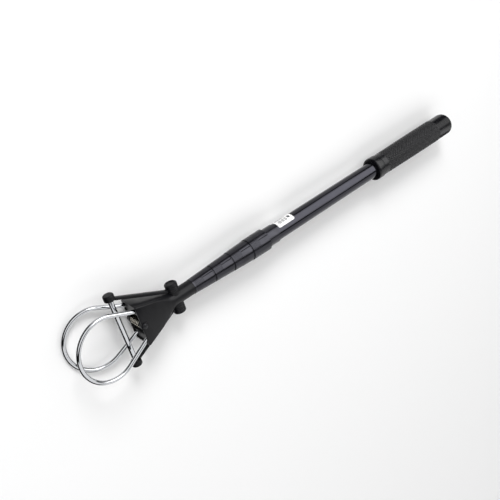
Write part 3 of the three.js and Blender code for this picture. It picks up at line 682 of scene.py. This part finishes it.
# ------------------------------------------------------------------ bail
PIVOT_X = 48.5
PIVOT_RADIUS = 6.65
PIVOT_BORE = 2.5
PIVOT_GAP = 0.15
WASHER_CHAMFER = 0.1
HUB_THICKNESS = 3.6
HUB_CHAMFER = 0.25
SCREW_RADIUS = 1.7
SCREW_CHAMFER = 0.2
COLUMN_RADIUS = 2.3
KNOB_CHAMFER = 0.3
KNOB_ROUND = 0.8
KNOB_RIM = 1.2
KNOB_LIP = 0.45
KNOB_LIP_RISE = 0.05
KNOB_DISH_INSET = 1.8
KNOB_DISH_DEPTH = 0.4
BAR_X = -14.3
BAR_RADIUS = 2.65
BAR_ROUND = 0.5
BAR_CLEARANCE = 0.1
KNUCKLE_RADIUS = 5.5
KNUCKLE_LENGTH = 6.4
KNUCKLE_FACE_ROUND = 0.8
KNUCKLE_END_ROUND = 1.6
KNUCKLE_END_WALL = 1.2
ARM_WIDTH = 3.2
ARM_HEIGHT = 4.5
ARM_EDGE = 0.7
ARM_INTO_HUB = 3
ARM_INTO_KNUCKLE = 1.7
ARM_BEND_LENGTH = 3.2
ARM_BEND_FROM_HUB = 1
ARM_BEND_STEPS = 6


def sideways(x, side):
    """Stands a piece turned about X on its end along Y, at x along the shaft."""
    return lambda t, a, b: (x - a, side * t, b)


def pivot_ring(face, end, chamfer):
    """The profile of a washer or a hub on the pivot."""
    profile = [(face, PIVOT_BORE), (face, PIVOT_RADIUS - chamfer), (face + chamfer, PIVOT_RADIUS)]
    return profile + [(end - chamfer, PIVOT_RADIUS), (end, PIVOT_RADIUS - chamfer), (end, PIVOT_BORE)]


def knob_profile(washer_face, hub_end):
    """A screw, the column that it is moulded in and a cap with a lip round its dished top."""
    low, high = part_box("pivot_knob_upper")
    tip, top = low.y / MM, high.y / MM
    face = hub_end + PIVOT_GAP
    rim = PIVOT_RADIUS - KNOB_RIM
    profile = [(tip, 0), (tip, SCREW_RADIUS - SCREW_CHAMFER), (tip + SCREW_CHAMFER, SCREW_RADIUS)]
    profile += [(washer_face, SCREW_RADIUS), (washer_face, COLUMN_RADIUS), (face, COLUMN_RADIUS)]
    profile += [(face, PIVOT_RADIUS - KNOB_CHAMFER), (face + KNOB_CHAMFER, PIVOT_RADIUS)]
    profile += arc(top - KNOB_ROUND, PIVOT_RADIUS - KNOB_ROUND, KNOB_ROUND, 90, 0, 8)
    profile += [(top, rim)] + arc(top + KNOB_LIP_RISE, rim - KNOB_LIP, KNOB_LIP, 0, -90, 4)[1:]
    dish = top - KNOB_DISH_DEPTH
    return profile + [(dish, PIVOT_RADIUS - KNOB_DISH_INSET), (dish, 0)]


def knuckle_profile(face, end):
    bore, floor_of_bore = BAR_RADIUS + BAR_CLEARANCE, end - KNUCKLE_END_WALL
    near, far = KNUCKLE_FACE_ROUND, KNUCKLE_END_ROUND
    profile = [(face, bore)] + arc(face + near, KNUCKLE_RADIUS - near, near, 180, 90, 6)
    profile += arc(end - far, KNUCKLE_RADIUS - far, far, 90, 0, 10)
    return profile + [(end, 0), (floor_of_bore, 0), (floor_of_bore, bore)]


def arm_bar(hub_middle, knuckle_face):
    """The flat bar from the hub to the knuckle, which bends once beside the hub."""
    elbow = PIVOT_X - PIVOT_RADIUS - ARM_BEND_FROM_HUB
    end = (BAR_X, knuckle_face + ARM_INTO_KNUCKLE)
    slope = (end[1] - hub_middle) / (elbow - end[0])
    route = [(PIVOT_X - ARM_INTO_HUB, hub_middle, 0)]
    for i in range(ARM_BEND_STEPS + 1):
        share = i / ARM_BEND_STEPS
        x = elbow + ARM_BEND_LENGTH * (0.5 - share)
        route.append((x, hub_middle + slope * ARM_BEND_LENGTH * share * share / 2, 0))
    return swept(route + [(*end, 0)], rounded_box(ARM_WIDTH, ARM_HEIGHT, ARM_EDGE))


def bail():
    low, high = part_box("pivot_washer_upper")
    washer_face, washer_end = low.y / MM, high.y / MM
    hub_face = washer_end + PIVOT_GAP
    hub_end = hub_face + HUB_THICKNESS
    knuckle_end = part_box("arm_upper")[1].y / MM
    knuckle_face = knuckle_end - KNUCKLE_LENGTH
    knob = turned(knob_profile(washer_face, hub_end), 72)
    washer = turned(pivot_ring(washer_face, washer_end, WASHER_CHAMFER), 72)
    hub = turned(pivot_ring(hub_face, hub_end, HUB_CHAMFER), 72)
    knuckle = turned(knuckle_profile(knuckle_face, knuckle_end), 72)
    bar = arm_bar((hub_face + hub_end) / 2, knuckle_face)
    for name, side in (("upper", 1), ("lower", -1)):
        pivot, at_pivot = f"pivot_knob_{name}", sideways(PIVOT_X, side)
        piece(pivot + "_cap", moved(knob, at_pivot), MOULDING, "head", "moulding", pivot)
        disc = f"pivot_washer_{name}"
        piece(disc + "_disc", moved(washer, at_pivot), BUSH, "bail", "bush_plastic", disc)
        bar_here = moved(bar, lambda x, y, z, s=side: (x, s * y, z))
        limb = joined(moved(hub, at_pivot), moved(knuckle, sideways(BAR_X, side)), bar_here)
        piece(f"arm_{name}_moulding", limb, MOULDING, "bail", "moulding", f"arm_{name}")
    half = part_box("crossbar")[1].y / MM
    rod = [(-half, 0)] + arc(BAR_ROUND - half, BAR_RADIUS - BAR_ROUND, BAR_ROUND, 180, 90, 5)
    rod += arc(half - BAR_ROUND, BAR_RADIUS - BAR_ROUND, BAR_ROUND, 90, 0, 5) + [(half, 0)]
    crossbar = moved(turned(rod, 64), sideways(BAR_X, 1))
    piece("crossbar_rod", crossbar, CHROME, "bail", "chrome_wire", "crossbar")


grip()
tubes()
for node in COLLARS:
    collar(node)
label()
hoop("hoop_front", 1)
hoop("hoop_rear", -1)
tie()
bail()


# ------------------------------------------------------------------ camera, floor and light
# directions and offsets in the row frame; the head lies left of and below the middle of the view
VIEW_BACK = Vector((-0.4781, 0.4747, 0.7379)).normalized()
VIEW_UP = Vector((0.4767, 0.8475, -0.2333)).normalized()
CAMERA_DISTANCE = 0.5824
HEAD_LEFT = 0.1113
HEAD_BELOW = 0.0708
LENS_MM = 43.2


def camera():
    right = VIEW_UP.cross(VIEW_BACK).normalized()
    up = VIEW_BACK.cross(right)
    data = bpy.data.cameras.new("camera")
    data.lens = LENS_MM
    data.sensor_width = 36
    made = bpy.data.objects.new("camera", data)
    mouth = Vector((MOUTH_X, 0, AXIS_Z))
    place = mouth + right * HEAD_LEFT + up * HEAD_BELOW + VIEW_BACK * CAMERA_DISTANCE
    turn = Matrix((right, up, VIEW_BACK)).transposed().to_4x4()
    made.matrix_world = Matrix.Translation(place) @ turn
    bpy.context.scene.collection.objects.link(made)
    bpy.context.scene.camera = made


FLOOR_HALF = 3.0


def floor():
    half = FLOOR_HALF
    mesh = bpy.data.meshes.new("floor")
    corners = [(-half, -half, 0), (half, -half, 0), (half, half, 0), (-half, half, 0)]
    mesh.from_pydata(corners, [], [(0, 1, 2, 3)])
    made = bpy.data.objects.new("floor", mesh)
    paint = material("floor_white", (0.93, 0.93, 0.93), 0.9)
    vary_roughness(paint, noise_of(paint, 8, 2), 0.85, 0.95)
    mesh.materials.append(paint)
    made.visible_glossy = False
    bpy.context.scene.collection.objects.link(made)


KEY_BEARING = (0.478, 0.54, 0.69)
KEY_DISTANCE = 1.5
KEY_ALONG = 1.3
KEY_ACROSS = 2.2
KEY_RADIANCE = 2.3


def key_light():
    """A large softbox over the shaft's +Y side, its long edge running across the shaft."""
    outward = Vector(KEY_BEARING).normalized()
    along = (Vector((1, 0, 0)) - outward * outward.x).normalized()
    across = outward.cross(along)
    data = bpy.data.lights.new("key", "AREA")
    data.shape = "RECTANGLE"
    data.size = KEY_ALONG
    data.size_y = KEY_ACROSS
    data.energy = KEY_RADIANCE * math.pi * KEY_ALONG * KEY_ACROSS
    made = bpy.data.objects.new("key", data)
    turn = Matrix((along, across, outward)).transposed().to_4x4()
    made.matrix_world = Matrix.Translation(outward * KEY_DISTANCE) @ turn
    made.visible_diffuse = False
    bpy.context.scene.collection.objects.link(made)


FILL_BEARING = (-0.1, 0.85, 0.5)
FILL_DISTANCE = 2.0
FILL_SIZE = 0.7
FILL_RADIANCE = 22


def fill_light():
    """A soft lamp on the shaft's +Y side, which lights the floor and casts the shadow but no highlight."""
    outward = Vector(FILL_BEARING).normalized()
    data = bpy.data.lights.new("fill", "AREA")
    data.shape = "DISK"
    data.size = FILL_SIZE
    data.energy = FILL_RADIANCE * math.pi * math.pi * (FILL_SIZE / 2) ** 2
    made = bpy.data.objects.new("fill", data)
    turn = outward.to_track_quat("Z", "Y").to_matrix().to_4x4()
    made.matrix_world = Matrix.Translation(outward * FILL_DISTANCE) @ turn
    made.visible_glossy = False
    bpy.context.scene.collection.objects.link(made)


# dark gaps that run along the shaft, as (angle from overhead towards +Y, half width) in degrees
DARK_GAPS = ((-9, 14), (86, 14))
GAP_BLUR = 0.3
GAP_LEVEL = 0.02
HORIZON_BLUR = 0.05
SKY_LEVEL = 1.15
GROUND_LEVEL = 0.8
# dark bands round the horizon, in components of the direction: X where the band starts and ends its fade,
# its strength at those two, the height of its middle and its half height
HORIZONS = ((-0.12, 0.05, 1, 0, -0.16, 0.57), (0.68, 0.78, 0, 1, -0.14, 0.25))


def sky():
    """A pale studio. The dark gaps between its softboxes run along the shaft, and dark bands on the horizon
    ahead of the head and behind the grip give the chrome its dark lines."""
    world = bpy.data.worlds.new("studio")
    bpy.context.scene.world = world
    world.use_nodes = True
    tree = world.node_tree
    background = tree.nodes["Background"]
    background.inputs["Color"].default_value = (1, 1, 1, 1)

    def math_of(operation, a, b=None):
        node = tree.nodes.new("ShaderNodeMath")
        node.operation = operation
        for socket, value in zip(node.inputs, (a, b)):
            if isinstance(value, (int, float)):
                socket.default_value = value
            elif value is not None:
                tree.links.new(value, socket)
        return node.outputs[0]

    def stepped(value, low, high, at_low, at_high):
        node = tree.nodes.new("ShaderNodeMapRange")
        node.interpolation_type = "SMOOTHSTEP"
        tree.links.new(value, node.inputs["Value"])
        ends = {"From Min": low, "From Max": high, "To Min": at_low, "To Max": at_high}
        for socket, number in ends.items():
            node.inputs[socket].default_value = number
        return node.outputs["Result"]

    place = tree.nodes.new("ShaderNodeTexCoord")
    split = tree.nodes.new("ShaderNodeSeparateXYZ")
    tree.links.new(place.outputs["Generated"], split.inputs[0])
    x, y, z = split.outputs
    angle = math_of("ARCTAN2", y, z)
    level = stepped(z, -HORIZON_BLUR, HORIZON_BLUR, GROUND_LEVEL, SKY_LEVEL)
    for middle, half_width in DARK_GAPS:
        off = math_of("ABSOLUTE", math_of("SUBTRACT", angle, math.radians(middle)))
        half = math.radians(half_width)
        inner, outer = half * (1 - GAP_BLUR), half * (1 + GAP_BLUR)
        level = math_of("MULTIPLY", level, stepped(off, inner, outer, GAP_LEVEL, 1))
    for side_low, side_high, in_low, in_high, middle, half in HORIZONS:
        off = math_of("ABSOLUTE", math_of("SUBTRACT", z, middle))
        outside = stepped(off, half - HORIZON_BLUR, half + HORIZON_BLUR, 0, 1)
        here = stepped(x, side_low, side_high, in_low, in_high)
        covered = math_of("MULTIPLY", here, math_of("SUBTRACT", 1, outside))
        level = math_of("MULTIPLY", level, math_of("SUBTRACT", 1, covered))
    tree.links.new(level, background.inputs["Strength"])


camera()
floor()
sky()
key_light()
fill_light()

bpy.context.scene.view_settings.view_transform = "Standard"
